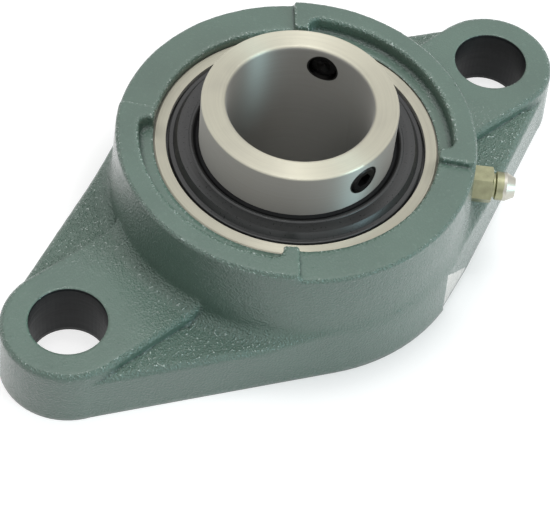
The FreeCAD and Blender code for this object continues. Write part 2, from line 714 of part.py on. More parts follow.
def make_balls():
    """The balls, on the pitch circle at the ball row."""
    balls = []
    for number, turn in enumerate(ball_turns(), start=1):
        ball = add("Part::Sphere", f"ball_{number}", Radius="ball_size / 2")
        balls.append(on_pitch(ball, turn, "centre_height"))
    return balls


def make_cage_half(name, roll):
    """Half of the riveted ribbon cage: flat between the balls and a spherical pocket round each ball."""
    reach = "ball_size / 2 + pocket_play"
    shells = [add("Part::Cylinder", f"{name}_flat", Radius="cage_outside / 2", Height="cage_sheet")]
    hollows = []
    for number, turn in enumerate(ball_turns(), start=1):
        shell = add("Part::Sphere", f"{name}_shell_{number}", Radius=f"{reach} + cage_sheet")
        hollow = add("Part::Sphere", f"{name}_pocket_{number}", Radius=reach)
        shells.append(on_pitch(shell, turn))
        hollows.append(on_pitch(hollow, turn))
    for number, turn in enumerate(ball_turns(0.5), start=1):
        fit = "rivet_shank / 2 + rivet_play"
        hole = add("Part::Cylinder", f"{name}_hole_{number}", Radius=fit, Height="ball_size")
        hollows.append(on_pitch(hole, turn))
    pressed = joined("Part::MultiFuse", f"{name}_pressed", shells)
    outside = add("Part::Cylinder", f"{name}_outside", Radius="cage_outside / 2", Height="ball_size")
    inside = add("Part::Cylinder", f"{name}_inside", Radius="cage_inside / 2", Height="ball_size")
    band = cut(f"{name}_band", outside, inside)
    ribbon = joined("Part::MultiCommon", f"{name}_ribbon", [pressed, band])
    half = cut(name, ribbon, joined("Part::MultiFuse", f"{name}_openings", hollows))
    return place(half, z="centre_height", roll=roll)


def make_rivets():
    """Cage rivets between the balls, with a domed head at each end, as one group."""
    dome = "((rivet_head / 2)^2 + rivet_dome^2) / (2 * rivet_dome)"
    corners = [
        ("0", "-cage_sheet - rivet_dome"),
        ("rivet_head / 2", "-cage_sheet", dome, "left"),
        ("rivet_shank / 2", "-cage_sheet"),
        ("rivet_shank / 2", "cage_sheet"),
        ("rivet_head / 2", "cage_sheet"),
        ("0", "cage_sheet + rivet_dome", dome, "left"),
    ]
    rivets = []
    for number, turn in enumerate(ball_turns(0.5), start=1):
        rivets.append(on_pitch(turned(f"rivet_{number}", corners), turn))
    group = doc.addObject("Part::Compound", "cage_rivets")
    group.Links = rivets
    return place(group, z="centre_height")


def make_set_screw(name, turn):
    """Set screw with a hexagon socket and a cup point, its tip at its own z = 0."""
    radius = "screw_size / 2"
    corners = [
        ("0", "cup_depth"),
        ("cup_width / 2", "0"),
        (f"{radius} - screw_edge", "0"),
        (radius, "screw_edge"),
        (radius, "screw_length - screw_edge"),
        (f"{radius} - screw_edge", "screw_length"),
        ("0", "screw_length"),
    ]
    body = turned_body(name, corners)
    hexagon = sketch_in(body, f"{name}_socket_sketch", "XY_Plane", "screw_length")
    closed_outline(hexagon, hexagon_corners("socket_flats"))
    pocket(body, hexagon, f"{name}_socket", "socket_depth")
    reach = "(shaft_bore / 2 + screw_retreat)"
    x = f"{reach} * cos({turn})"
    y = f"{reach} * sin({turn})"
    return place(body, x, y, "screw_height", yaw=turn, pitch="90")


def on_nipple(thing, lift="0"):
    """Turn an object's Z along the nipple axis, lifted from the nipple's seat."""
    reach = f"(nipple_seat + {lift})"
    return place(
        thing,
        f"{reach} * cos(nipple_angle)",
        f"{reach} * sin(nipple_angle)",
        "nipple_height",
        yaw="nipple_angle",
        pitch="90",
    )


def make_nipple():
    """Grease nipple: threaded shank, hexagon, neck and head, bored for the check ball and its spring."""
    blank = "hex_flats / 2 / cos(30)"
    shoulder = "(hex_height + neck_height + head_shoulder)"
    corners = [
        ("stake_width / 2", "-shank_length"),
        ("thread_size / 2 - hex_edge", "-shank_length"),
        ("thread_size / 2", "hex_edge - shank_length"),
        ("thread_size / 2", "0"),
        (f"{blank} - hex_edge", "0"),
        (blank, "hex_edge / 2"),
        (blank, "hex_height - hex_edge / 2"),
        (f"{blank} - hex_edge", "hex_height"),
        ("neck_width / 2", "hex_height"),
        ("neck_width / 2", "hex_height + neck_height"),
        ("head_width / 2", shoulder),
        ("head_width / 2", f"{shoulder} + head_height"),
        ("tip_width / 2", "nipple_tip"),
        ("outlet / 2", "nipple_tip"),
        ("outlet / 2", "check_seat"),
        ("passage / 2", "check_cone"),
        ("passage / 2", "stake_height - shank_length"),
        ("stake_width / 2", "stake_height - shank_length"),
    ]
    body = turned_body("grease_nipple", corners)
    flats = sketch_in(body, "nipple_flats_sketch", "XY_Plane")
    closed_outline(flats, hexagon_corners("hex_flats"))
    centred_circle(flats, "hex_flats")
    pocket(body, flats, "nipple_flats", "hex_height", upwards=True)
    return on_nipple(body)


def make_check_ball():
    """Check ball just under its seat in the nipple tip."""
    ball = add("Part::Sphere", "nipple_check_ball", Radius="check_ball / 2")
    return on_nipple(ball, "check_place")


def make_check_spring():
    """Check spring between the staked end of the nipple and the check ball."""
    floor = "(stake_height - shank_length + spring_wire / 2)"
    height = f"(check_place - check_ball / 2 - {floor})"
    coil = add("Part::Helix", "spring_coil", Radius="spring_width / 2", Pitch="spring_pitch", Height=height)
    wire = add("Part::Circle", "spring_section", Radius="spring_wire / 2")
    place(wire, "spring_width / 2", roll="90")
    spring = doc.addObject("Part::Sweep", "nipple_spring")
    spring.Sections = [wire]
    spring.Spine = (coil, ["Edge1"])
    spring.Solid = True
    spring.Frenet = True
    return on_nipple(spring, floor)


def check_document():
    """Stop if anything in the document failed."""
    for thing in doc.Objects:
        if "Invalid" in thing.State or "Error" in thing.State:
            raise RuntimeError(f"{thing.Name} failed: {thing.State}")


def write_part(thing):
    """Write one sub-part to its own file."""
    shape = thing.Shape
    if shape.isNull() or not shape.isValid():
        raise RuntimeError(f"{thing.Label} has no valid shape")
    shape.exportStep(f"parts/{thing.Label}.step")
    print(f"{thing.Label}: {len(shape.Solids)} solid, {shape.Volume:.2f} mm3")


sheet = make_sheet()
parts = [make_housing(), make_outer_ring(), make_inner_ring()]
parts += make_balls()
parts += [make_cage_half("cage_front", "0"), make_cage_half("cage_back", "180"), make_rivets()]
parts += [make_seal_plate("seal_plate_front", "0"), make_seal_plate("seal_plate_back", "180")]
parts += [make_seal_lip("seal_lip_front", "0"), make_seal_lip("seal_lip_back", "180")]
parts += [make_set_screw("set_screw_1", "screw_angle")]
parts += [make_set_screw("set_screw_2", "screw_angle + screw_spread")]
parts += [make_nipple(), make_check_ball(), make_check_spring()]
doc.recompute()
check_document()
os.makedirs("parts", exist_ok=True)
for part in parts:
    write_part(part)
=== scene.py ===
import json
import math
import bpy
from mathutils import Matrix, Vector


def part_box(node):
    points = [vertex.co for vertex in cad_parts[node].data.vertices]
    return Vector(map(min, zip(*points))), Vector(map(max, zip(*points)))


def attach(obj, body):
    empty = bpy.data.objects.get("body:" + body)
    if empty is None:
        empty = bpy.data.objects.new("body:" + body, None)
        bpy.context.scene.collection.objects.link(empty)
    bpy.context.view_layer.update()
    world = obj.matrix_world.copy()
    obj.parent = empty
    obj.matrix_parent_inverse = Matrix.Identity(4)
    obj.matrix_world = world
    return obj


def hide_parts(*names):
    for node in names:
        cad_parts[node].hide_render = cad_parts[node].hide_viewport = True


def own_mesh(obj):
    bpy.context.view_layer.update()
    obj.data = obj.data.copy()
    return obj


bl_info = {
    "name": "Flange bearing unit",
    "version": (1, 0, 0),
    "blender": (4, 5, 0),
    "location": "3D View > Sidebar > Bearing unit",
    "description": "Dresses a two-bolt flange bearing unit: casting, rings, seals, screws and grease nipple",
    "category": "Object",
}

import bmesh
import bpy
from bpy.props import FloatProperty, FloatVectorProperty, IntProperty, PointerProperty
from mathutils import Matrix, Vector, noise

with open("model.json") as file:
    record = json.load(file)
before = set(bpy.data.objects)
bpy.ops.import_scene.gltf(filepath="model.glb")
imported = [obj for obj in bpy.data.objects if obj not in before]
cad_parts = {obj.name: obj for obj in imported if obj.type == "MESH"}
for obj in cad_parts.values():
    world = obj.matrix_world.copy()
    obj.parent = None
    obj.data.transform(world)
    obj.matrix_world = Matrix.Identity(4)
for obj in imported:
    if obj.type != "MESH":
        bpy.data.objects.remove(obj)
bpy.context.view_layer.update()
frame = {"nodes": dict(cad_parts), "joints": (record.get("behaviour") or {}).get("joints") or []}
JOINTS = {joint["name"]: joint for joint in frame["joints"]}

MM = 0.001

# Places on the unit, in the frame's axes
CENTRE = Vector(JOINTS["insert_tilt"]["pos_m"])
BOLT_REACH = 58.5 * MM
BOLT_HOLE = 8.2 * MM
BALLS = [node for node in frame["nodes"] if node.startswith("ball_")]

# Limits of the machined and the smoother cast faces
FOOT_TOP = 1.2 * MM
SEAT_EDGE = 31.3 * MM
SEAT_TOP = 28.5 * MM
MOUTH_EDGE = 34.5 * MM
BOSS_FACE = 27 * MM
PAD_FACE = 13.5 * MM
PAD_SMOOTH = 12 * MM
PAD_FADE = 14 * MM
SMOOTH_CAST = 0.2
WALL_CAST = 0.4

# Band in which the boss wall runs into the flange rim
BLEND_INSIDE = 36.5 * MM
BLEND_LOW = 7 * MM
BLEND_HIGH = 22 * MM
BLEND_LEAN = 0.5
BLEND_RISE = 8
BLEND_ROUNDS = 22

# Materials of the casting after its paint, and how much longer than on top its facets may be
MACHINED = 1
DRILLED = 2
WALL_FACET = 1.4
MACHINED_FACET = 4

# Edges of the casting: those the sand rounds, those shaded as sharp, and how strongly ridges and hollows show
# as painted highlight and painted shade in the enamel
HARD_ANGLE = math.radians(38)
SOFTEN_STEP = 0.4
SOFTEN_ROUNDS = 2
SHARP_ANGLE = math.radians(50)
EDGE_GAIN = 2.5
EDGE_ROUNDS = 2

# Raised sand grains: how deep they sit, in radii, and their smallest and largest stretch
GRAIN_SINK = -0.5
GRAIN_SMALL = (0.5, 0.5, 0.15)
GRAIN_LARGE = (1.3, 1.3, 0.4)

# The ground-off gate on the flange rim, from its high left end to its low right end
GATE_LEFT = math.radians(-72.3)
GATE_RIGHT = math.radians(-56)
GATE_FADE = 0.005
GATE_HIGH = 12 * MM
GATE_LOW = 2 * MM
GATE_FOOT = 0.6 * MM
GATE_INSIDE = 38 * MM

# Tapped holes of the set screws in the inner ring
SCREW_HEIGHT = 35.2 * MM
SCREW_RIM = 3.45 * MM
SCREW_WAYS = (math.radians(-90), math.radians(30))

# The grease nipple: its direction, where its bright tip starts, and the travel of its check ball
NIPPLE_WAY = Vector((math.sqrt(0.5), -math.sqrt(0.5), 0))
NIPPLE_TIP = 44 * MM

# The floor: half its side, and how far it lies under the mounting face
FLOOR_HALF = 4.0
FLOOR_DROP = 0.1 * MM

# Seams of the CAD meshes closer than this are merged
SEAM = 0.002 * MM


def srgb(red, green, blue):
    """Linear colour from the 0 to 255 numbers of a display colour."""
    def linear(level):
        level = level / 255
        return level / 12.92 if level <= 0.04045 else ((level + 0.055) / 1.055) ** 2.4
    return linear(red), linear(green), linear(blue)


def shade(tone, factor):
    """A lighter or darker shade of a colour."""
    return tuple(level * factor for level in tone)


def colour(name, words, numbers):
    """A colour setting, given in display numbers."""
    return FloatVectorProperty(name=name, description=words, default=srgb(*numbers), subtype="COLOR",
                               size=3, min=0, max=1)


def length(name, words, default):
    """A length setting."""
    return FloatProperty(name=name, description=words, default=default, unit="LENGTH", precision=5)


def power(name, words, default):
    """A lamp's power setting."""
    return FloatProperty(name=name, description=words, default=default, unit="POWER")


def angle(name, words, degrees):
    """An angle setting, given in degrees."""
    return FloatProperty(name=name, description=words, default=math.radians(degrees), subtype="ANGLE")


class BearingCasting(bpy.types.PropertyGroup):
    paint: colour("Paint", "Middle tone of the green enamel", (90, 115, 102))
    paint_deep: colour("Paint in hollows", "Enamel where it lies thick", (82, 106, 94))
    # Painted shade: a dark enamel tone laid into the hollows and corners of the casting
    painted_corner_shade: colour("Paint in corners", "Painted shade in the corners", (58, 77, 69))
    # Pale enamel tone, used for random flecks and as painted highlight along convex edges
    pale_fleck_and_edge_highlight: colour("Paint on edges", "Pale enamel flecks, and painted highlight on edges", (108, 132, 119))
    # Painted glints: near-white dots on the tops of the sand grains
    speck_and_glint: colour("Specks", "Painted glints on the tops of the sand grains", (222, 233, 227))
    iron: colour("Machined iron", "Turned seat and mounting face", (118, 113, 104))
    # Near-black bolt-hole wall: drilled iron darkened with painted shade of the holes' inside
    drilled: colour("Drilled iron", "Dark wall of the bolt holes", (29, 31, 32))
    rust: colour("Stain", "Brown stain on bare iron", (104, 80, 58))
    ground: colour("Ground gate", "Bright flat where the gate was ground off", (240, 240, 236))
    facet: length("Facet", "Longest edge on top of the casting", 1.0 * MM)
    wave: length("Waves", "Height of the long waves left by the mould", 0.07 * MM)
    grain: length("Grain", "Height of the sand texture", 0.05 * MM)
    wave_length: length("Wave length", "Distance between waves", 8 * MM)
    grain_length: length("Grain length", "Distance between grains", 1.9 * MM)
    pimple: length("Pimple", "Radius of a raised sand grain", 0.3 * MM)
    pimples: FloatProperty(name="Pimples", description="Raised sand grains in a square metre", default=320000)
    seed: IntProperty(name="Seed", description="Seed of the scattered grains", default=7)


class BearingMetals(bpy.types.PropertyGroup):
    # The end faces get a paler, creamier steel than the bore and outside: partly their finish, partly painted
    # light on the end faces and painted shade on the sides
    steel: colour("Ring faces", "Ground end faces of the rings", (207, 204, 187))
    side: colour("Ring sides", "Honed bore and outside of the rings", (164, 163, 158))
    steel_dark: colour("Ring steel, worn", "Darker streaks on the rings", (164, 161, 152))
    tapped: colour("Tapped holes", "Dark oily threads round the set screws", (44, 43, 42))
    ball: colour("Ball steel", "Polished balls", (232, 232, 230))
    cage: colour("Cage steel", "Pressed cage sheet", (172, 168, 160))
    plate: colour("Seal plate", "Dark phosphated seal plate", (76, 76, 76))
    rubber: colour("Rubber", "Lip of the seal", (11, 11, 12))
    black: colour("Black steel", "Oxidised set screws", (38, 37, 37))
    zinc: colour("Yellow zinc", "Passivated zinc of the nipple", (171, 171, 139))
    bright: colour("Bright zinc", "Tip of the nipple", (198, 195, 184))


class BearingStage(bpy.types.PropertyGroup):
    lens: FloatProperty(name="Lens", description="Focal length in millimetres", default=136.57)
    azimuth: angle("Azimuth", "Camera direction round the unit", -45.170)
    elevation: angle("Elevation", "Camera direction above the floor", 52.904)
    roll: angle("Roll", "Turn of the camera about its view", 6.382)
    place: FloatVectorProperty(name="Place", description="Camera position", size=3, subtype="TRANSLATION",
                               default=(-0.199243, -0.195907, 0.355396), precision=6)
    floor: colour("Floor", "Pale floor", (190, 190, 190))
    ambient: FloatProperty(name="Ambient", default=1.85,
                           description="Light from straight above, less from the sides, least from the left")
    key: power("Key light", "Power of the soft light overhead", 1.0)
    spark: power("Spark light", "Power of the small lamp that makes the grain glitter", 0.45)
    fill: power("Fill light", "Power of the cool light from the right", 2.65)
    cool: colour("Fill colour", "Colour of the light from the right", (200, 246, 255))


class Nodes:
    """A node tree with short calls for the nodes used here."""

    def __init__(self, tree, coordinates="Object"):
        self.tree = tree
        self.tree.nodes.clear()
        self.make = tree.nodes.new
        self.place = self.make("ShaderNodeTexCoord").outputs[coordinates]

    def feed(self, socket, content):
        """Link a socket to another, or set its value."""
        if isinstance(content, bpy.types.NodeSocket):
            self.tree.links.new(content, socket)
        elif socket.type == "RGBA":
            socket.default_value = (*content, 1)
        else:
            socket.default_value = content

    def math(self, operation, *values, clamp=False):
        node = self.make("ShaderNodeMath")
        node.operation = operation
        node.use_clamp = clamp
        for socket, content in zip(node.inputs, values):
            self.feed(socket, content)
        return node.outputs[0]

    def times(self, first, second):
        return self.math("MULTIPLY", first, second)

    def plus(self, first, second):
        return self.math("ADD", first, second)

    def axes(self):
        node = self.make("ShaderNodeSeparateXYZ")
        self.feed(node.inputs[0], self.place)
        return node.outputs

    def vector(self, x, y, z):
        node = self.make("ShaderNodeCombineXYZ")
        for socket, content in zip(node.inputs, (x, y, z)):
            self.feed(socket, content)
        return node.outputs[0]

    def distance(self, first, second):
        """Length of a line from its two parts at right angles."""
        return self.math("SQRT", self.plus(self.times(first, first), self.times(second, second)))

    def radius(self):
        """Distance from the shaft's axis."""
        x, y, _ = self.axes()
        return self.distance(x, y)

    def noise(self, scale, detail=3, rough=0.55, vector=None, w=None):
        node = self.make("ShaderNodeTexNoise")
        if w is not None:
            node.noise_dimensions = "4D"
            self.feed(node.inputs["W"], w)
        self.feed(node.inputs["Vector"], vector or self.place)
        node.inputs["Scale"].default_value = scale
        node.inputs["Detail"].default_value = detail
        node.inputs["Roughness"].default_value = rough
        return node.outputs["Fac"]

    def cells(self, scale):
        node = self.make("ShaderNodeTexVoronoi")
        self.feed(node.inputs["Vector"], self.place)
        node.inputs["Scale"].default_value = scale
        return node.outputs["Distance"]

    def span(self, content, low, high, to_low=0.0, to_high=1.0):
        """Carry a value from one range to another, held at its ends."""
        node = self.make("ShaderNodeMapRange")
        for socket, number in zip(node.inputs, (content, low, high, to_low, to_high)):
            self.feed(socket, number)
        return node.outputs[0]

    def mix(self, factor, first, second):
        node = self.make("ShaderNodeMix")
        node.data_type = "RGBA"
        self.feed(node.inputs["Factor"], factor)
        self.feed(node.inputs[6], first)
        self.feed(node.inputs[7], second)
        return node.outputs[2]

    def attribute(self, name):
        node = self.make("ShaderNodeAttribute")
        node.attribute_name = name
        return node.outputs["Fac"]

    def bump(self, height, distance, strength=1.0):
        node = self.make("ShaderNodeBump")
        self.feed(node.inputs["Height"], height)
        self.feed(node.inputs["Strength"], strength)
        node.inputs["Distance"].default_value = distance
        return node.outputs[0]

    def turned(self, fine):
        """Streaks that run round the shaft's axis, as turning and grinding leave them."""
        x, y, z = self.axes()
        radius = self.distance(x, y)
        across = self.math("DIVIDE", x, radius)
        along = self.math("DIVIDE", y, radius)
        vector = self.vector(self.times(radius, fine), across, along)
        return self.noise(1.0, detail=4, rough=0.6, vector=vector, w=self.times(z, fine))


class Finish(Nodes):
    """The nodes of a material with one shader."""

    def __init__(self, name):
        self.material = bpy.data.materials.new(name)
        self.material.use_nodes = True
        super().__init__(self.material.node_tree)
        output = self.make("ShaderNodeOutputMaterial")
        self.shader = self.make("ShaderNodeBsdfPrincipled")
        self.tree.links.new(self.shader.outputs[0], output.inputs[0])

    def done(self, **sockets):
        """Feed the shader's sockets and hand over the material."""
        for name, content in sockets.items():
            self.feed(self.shader.inputs[name.replace("_", " ")], content)
        return self.material


def gate_mask(n):
    """One on the ground-off gate of the flange rim, with ragged edges, and zero elsewhere."""
    x, y, z = n.axes()
    turn = n.math("ARCTAN2", y, x)
    ragged = n.span(n.noise(420), 0.3, 0.7, -0.4 * MM, 0.4 * MM)
    level = n.plus(z, ragged)
    under = n.math("SUBTRACT", n.span(turn, GATE_LEFT, GATE_RIGHT, GATE_HIGH, GATE_LOW), level)
    gate = n.times(n.span(under, 0.0, 0.2 * MM), n.span(level, GATE_FOOT, GATE_FOOT + 0.2 * MM))
    gate = n.times(gate, n.span(turn, GATE_LEFT - GATE_FADE, GATE_LEFT))
    gate = n.times(gate, n.span(turn, GATE_RIGHT, GATE_RIGHT - GATE_FADE))
    return n.times(gate, n.math("GREATER_THAN", n.radius(), GATE_INSIDE))


def ground_tone(n, look):
    """Bright ground iron with fine scratches along the rim."""
    x, y, z = n.axes()
    turn = n.math("ARCTAN2", y, x)
    scratch = n.noise(1.0, detail=3, rough=0.6, vector=n.vector(n.times(turn, 30), n.times(z, 5000), 0.0))
    return n.mix(n.span(scratch, 0.3, 0.7, 0.0, 0.6), look.ground, look.iron)


def enamel_tone(n, look, fleck, sand):
    """Green enamel: clouded, with pale flecks, painted highlight on edges, painted shade in corners, and
    painted glints on the tops of the sand.
    """
    edge = n.attribute("edge")
    cloud = n.noise(60, detail=3, rough=0.6)
    tone = n.mix(n.span(cloud, 0.3, 0.7), look.paint_deep, look.paint)
    tone = n.mix(n.times(n.span(fleck, 0.55, 0.75), 0.45), tone, look.pale_fleck_and_edge_highlight)
    # Painted highlight: convex edges and ridges lightened towards the pale tone
    tone = n.mix(n.span(edge, 0.15, 0.7, 0.0, 0.6), tone, look.pale_fleck_and_edge_highlight)
    # Painted shade: hollows and corners darkened towards the corner tone
    tone = n.mix(n.span(edge, -0.14, -0.45, 0.0, 0.8), tone, look.painted_corner_shade)
    # Painted glints: near-white dots on the peaks of the sand texture, most on upward faces and on ridges
    # above the foot
    raised = n.plus(sand, n.span(edge, 0.1, 0.6, 0.0, 0.1))
    flat = n.span(n.attribute("grit"), 0.2, 0.9, 0.03, 0.8)
    above_foot = n.span(n.axes()[2], 2 * MM, 4 * MM)
    wear_and_glint = n.times(n.span(edge, 0.1, 0.6, 0.0, 0.55), above_foot)
    glint_share = n.math("ADD", flat, wear_and_glint, clamp=True)
    return n.mix(n.times(n.span(raised, 0.76, 0.9), glint_share), tone, look.speck_and_glint)


def paint_material(look):
    """Green enamel over a sand casting, with the gate ground bright on the flange rim."""
    n = Finish("cast_paint")
    fleck = n.noise(900, detail=4, rough=0.65)
    sand = n.plus(n.times(n.noise(2600, detail=1, rough=0.5), 0.7), n.times(n.cells(2000), 0.5))
    gate = gate_mask(n)
    normal = n.bump(sand, 0.5 * MM, n.span(n.attribute("cast"), 0.15, 1.0, 0.1, 1.0))
    return n.done(
        Base_Color=n.mix(gate, enamel_tone(n, look, fleck, sand), ground_tone(n, look)),
        Metallic=gate,
        Roughness=n.span(fleck, 0.3, 0.7, 0.36, 0.5),
        Coat_Weight=0.8,
        Coat_Roughness=0.1,
        Coat_Normal=normal,
        Normal=normal,
    )


def iron_material(look):
    """Bare turned iron of the seat and the mounting face, lightly stained."""
    n = Finish("machined_iron")
    streak = n.turned(3500)
    stain = n.span(n.noise(140, detail=4, rough=0.65), 0.45, 0.7)
    return n.done(
        Base_Color=n.mix(n.times(stain, 0.8), look.iron, look.rust),
        Metallic=0.85,
        Roughness=n.span(streak, 0.3, 0.7, 0.32, 0.52),
        Normal=n.bump(streak, 0.03 * MM, 0.6),
    )


def hole_material(look):
    """Drilled wall of a bolt hole with faint rings from the drill, near-black: bare iron darkened with
    painted shade of the hole's inside.
    """
    n = Finish("drilled_iron_and_shade")
    x, y, z = n.axes()
    stretched = n.vector(n.times(x, 60), n.times(y, 60), n.times(z, 2500))
    ring = n.noise(1.0, detail=3, rough=0.6, vector=stretched)
    cloud = n.span(n.noise(260, detail=3, rough=0.6), 0.4, 0.75)
    return n.done(
        Base_Color=n.mix(n.times(cloud, 0.6), look.drilled, shade(look.drilled, 1.9)),
        Metallic=0.2,
        Specular_IOR_Level=0.25,
        Roughness=n.span(ring, 0.3, 0.7, 0.42, 0.55),
        Normal=n.bump(ring, 0.02 * MM, 0.6),
    )


def steel_material(name, tone, wear_and_glint, fine, rough, depth):
    """Smooth steel with fine streaks round the shaft and a little cloudiness."""
    n = Finish(name)
    streak = n.turned(fine)
    cloud = n.noise(90, detail=3, rough=0.5)
    streaked = n.mix(n.times(n.span(streak, 0.4, 0.75), 0.6), tone, wear_and_glint)
    return n.done(
        Base_Color=n.mix(n.times(n.span(cloud, 0.5, 0.75), 0.25), streaked, wear_and_glint),
        Metallic=1.0,
        Roughness=n.span(streak, 0.25, 0.75, rough - 0.06, rough + 0.08),
        Normal=n.bump(streak, depth, 0.5),
    )


def tapped_mask(n):
    """One in the tapped holes of the set screws and zero elsewhere."""
    x, y, z = n.axes()
    lift = n.math("SUBTRACT", z, SCREW_HEIGHT)
    off = 1.0
    for way in SCREW_WAYS:
        along = n.plus(n.times(x, math.cos(way)), n.times(y, math.sin(way)))
        aside = n.math("SUBTRACT", n.times(y, math.cos(way)), n.times(x, math.sin(way)))
        behind = n.math("LESS_THAN", along, 0.0)
        off = n.math("MINIMUM", off, n.plus(n.distance(aside, lift), behind))
    return n.span(off, SCREW_RIM, SCREW_RIM - 0.1 * MM)


def ring_material(name, look, middle, half, fine):
    """Bearing steel: end faces ground in rings, bore and outside honed smoother, tapped holes dark. The end
    faces are paler and creamier than the sides: partly their finish, partly painted light on the end faces
    and painted shade on the sides.
    """
    n = Finish(name)
    streak = n.turned(fine)
    from_middle = n.math("ABSOLUTE", n.math("SUBTRACT", n.axes()[2], middle))
    face = n.span(from_middle, half - 0.45 * MM, half - 0.1 * MM)
    cloud = n.noise(90, detail=3, rough=0.5)
    # Paler steel on the end faces and greyer steel on the sides: partly finish, partly painted light and
    # painted shade
    tone = n.mix(face, look.side, look.steel)
    tone = n.mix(n.times(n.span(streak, 0.45, 0.8), 0.2), tone, look.steel_dark)
    tone = n.mix(n.times(n.span(cloud, 0.5, 0.75), 0.25), tone, look.steel_dark)
    hole = tapped_mask(n)
    rough = n.plus(n.span(streak, 0.25, 0.75, 0.4, 0.5), n.span(face, 0.0, 1.0, 0.18, 0.0))
    brushed = n.make("ShaderNodeTangent")
    brushed.direction_type = "RADIAL"
    brushed.axis = "Z"
    return n.done(
        Base_Color=n.mix(hole, tone, look.tapped),
        Metallic=1.0,
        Roughness=n.math("MAXIMUM", rough, n.times(hole, 0.55)),
        Anisotropic=0.9,
        Anisotropic_Rotation=0.25,
        Tangent=brushed.outputs[0],
        Normal=n.bump(streak, 0.006 * MM, 0.3),
    )


def plate_material(look):
    """Dark phosphated sheet of the seal plates, rubbed lighter in rings."""
    n = Finish("seal_sheet")
    speck_and_glint = n.noise(1800, detail=3, rough=0.6)
    return n.done(
        Base_Color=n.mix(n.span(n.turned(2200), 0.35, 0.7), shade(look.plate, 0.8), look.plate),
        Metallic=0.6,
        Roughness=n.span(speck_and_glint, 0.3, 0.7, 0.26, 0.36),
        Normal=n.bump(speck_and_glint, 0.01 * MM, 0.5),
    )


def rubber_material(look):
    """Matt black rubber with a fine moulded texture."""
    n = Finish("lip_rubber")
    speck_and_glint = n.noise(2600, detail=3, rough=0.6)
    return n.done(
        Base_Color=n.mix(n.span(n.noise(160), 0.35, 0.75), look.rubber, shade(look.rubber, 2.2)),
        Roughness=n.span(speck_and_glint, 0.3, 0.7, 0.5, 0.65),
        Specular_IOR_Level=0.2,
        Normal=n.bump(speck_and_glint, 0.02 * MM, 0.6),
    )


def black_material(look):
    """Black-oxidised steel of the set screws, oily and a little worn."""
    n = Finish("black_oxide")
    wear = n.span(n.noise(700, detail=4, rough=0.7), 0.58, 0.75)
    return n.done(
        Base_Color=n.mix(n.times(wear, 0.6), look.black, shade(look.black, 5)),
        Metallic=0.8,
        Roughness=n.span(n.noise(1500), 0.3, 0.7, 0.28, 0.42),
        Normal=n.bump(n.noise(2400), 0.02 * MM, 0.4),
    )


def zinc_material(look):
    """Yellow-passivated zinc, with the tip of the nipple left bright."""
    n = Finish("nipple_finish")
    x, y, _ = n.axes()
    reach = n.times(n.math("SUBTRACT", x, y), NIPPLE_WAY.x)
    cloud = n.noise(420, detail=3, rough=0.6)
    warm = n.mix(n.span(cloud, 0.35, 0.7), look.zinc, shade(look.zinc, 0.72))
    ragged = n.span(cloud, 0.3, 0.7, -0.15 * MM, 0.15 * MM)
    bright = n.span(n.plus(reach, ragged), NIPPLE_TIP - 0.2 * MM, NIPPLE_TIP)
    return n.done(
        Base_Color=n.mix(bright, warm, look.bright),
        Metallic=1.0,
        Roughness=n.span(n.noise(1600), 0.3, 0.7, 0.32, 0.46),
        Normal=n.bump(n.noise(2200), 0.015 * MM, 0.4),
    )


def mesh_copy(node):
    """An editable copy of a CAD node's mesh with its seams merged."""
    mesh = bmesh.new()
    mesh.from_mesh(frame["nodes"][node].data)
    bmesh.ops.remove_doubles(mesh, verts=mesh.verts, dist=SEAM)
    return mesh


def new_piece(name, mesh, materials):
    """An object at the origin from an edited mesh, with its materials."""
    data = bpy.data.meshes.new(name)
    mesh.to_mesh(data)
    mesh.free()
    for material in materials:
        data.materials.append(material)
    piece = bpy.data.objects.new(name, data)
    bpy.context.scene.collection.objects.link(piece)
    return piece


def dress(node, material):
    """Give a CAD node its finished material."""
    frame["nodes"][node].material_slots[0].material = material


def to_bolt(point):
    """Distance from the nearer bolt axis."""
    return math.hypot(abs(point.x) - BOLT_REACH, point.y)


def to_shaft(point):
    """Distance from the shaft's axis."""
    return math.hypot(point.x, point.y)


def machined(face):
    """True on the seat and the mounting face, which are turned after casting."""
    middle = face.calc_center_median()
    outwards = Vector((middle.x, middle.y, 0))
    faces_in = face.normal.dot(outwards.normalized()) < -0.2
    in_seat = faces_in and outwards.length < SEAT_EDGE and middle.z < SEAT_TOP
    under = middle.z < FOOT_TOP and face.normal.z < -0.6
    return in_seat or under


def drilled(face):
    """True on the walls of the bolt holes."""
    return abs(face.normal.z) < 0.5 and to_bolt(face.calc_center_median()) < BOLT_HOLE


def mark_finishes(mesh):
    """Tell the machined and the drilled faces from the painted ones, and keep the mounting face flat."""
    mesh.normal_update()
    for face in mesh.faces:
        face.smooth = face.normal.z > -0.99
        if machined(face):
            face.material_index = MACHINED
        elif drilled(face):
            face.material_index = DRILLED


def longest(edge, facet):
    """How long an edge may stay: short on top, where the sand shows most, and long on machined faces."""
    rises = [face.normal.z for face in edge.link_faces if face.material_index != MACHINED]
    if not rises:
        return facet * MACHINED_FACET
    return facet if max(rises) > 0.5 else facet * WALL_FACET


def cut_long_edges(mesh, facet):
    """Halve long edges, the longest first and one to a face, until the surface can carry grain."""
    while True:
        mesh.normal_update()
        long = [edge for edge in mesh.edges if edge.calc_length() > facet]
        long = [edge for edge in long if edge.calc_length() > longest(edge, facet)]
        if not long:
            return
        long.sort(key=lambda edge: edge.calc_length(), reverse=True)
        taken = set()
        chosen = []
        for edge in long:
            if taken.isdisjoint(edge.link_faces):
                taken.update(edge.link_faces)
                chosen.append(edge)
        bmesh.ops.subdivide_edges(mesh, edges=chosen, cuts=1, use_single_edge=True)


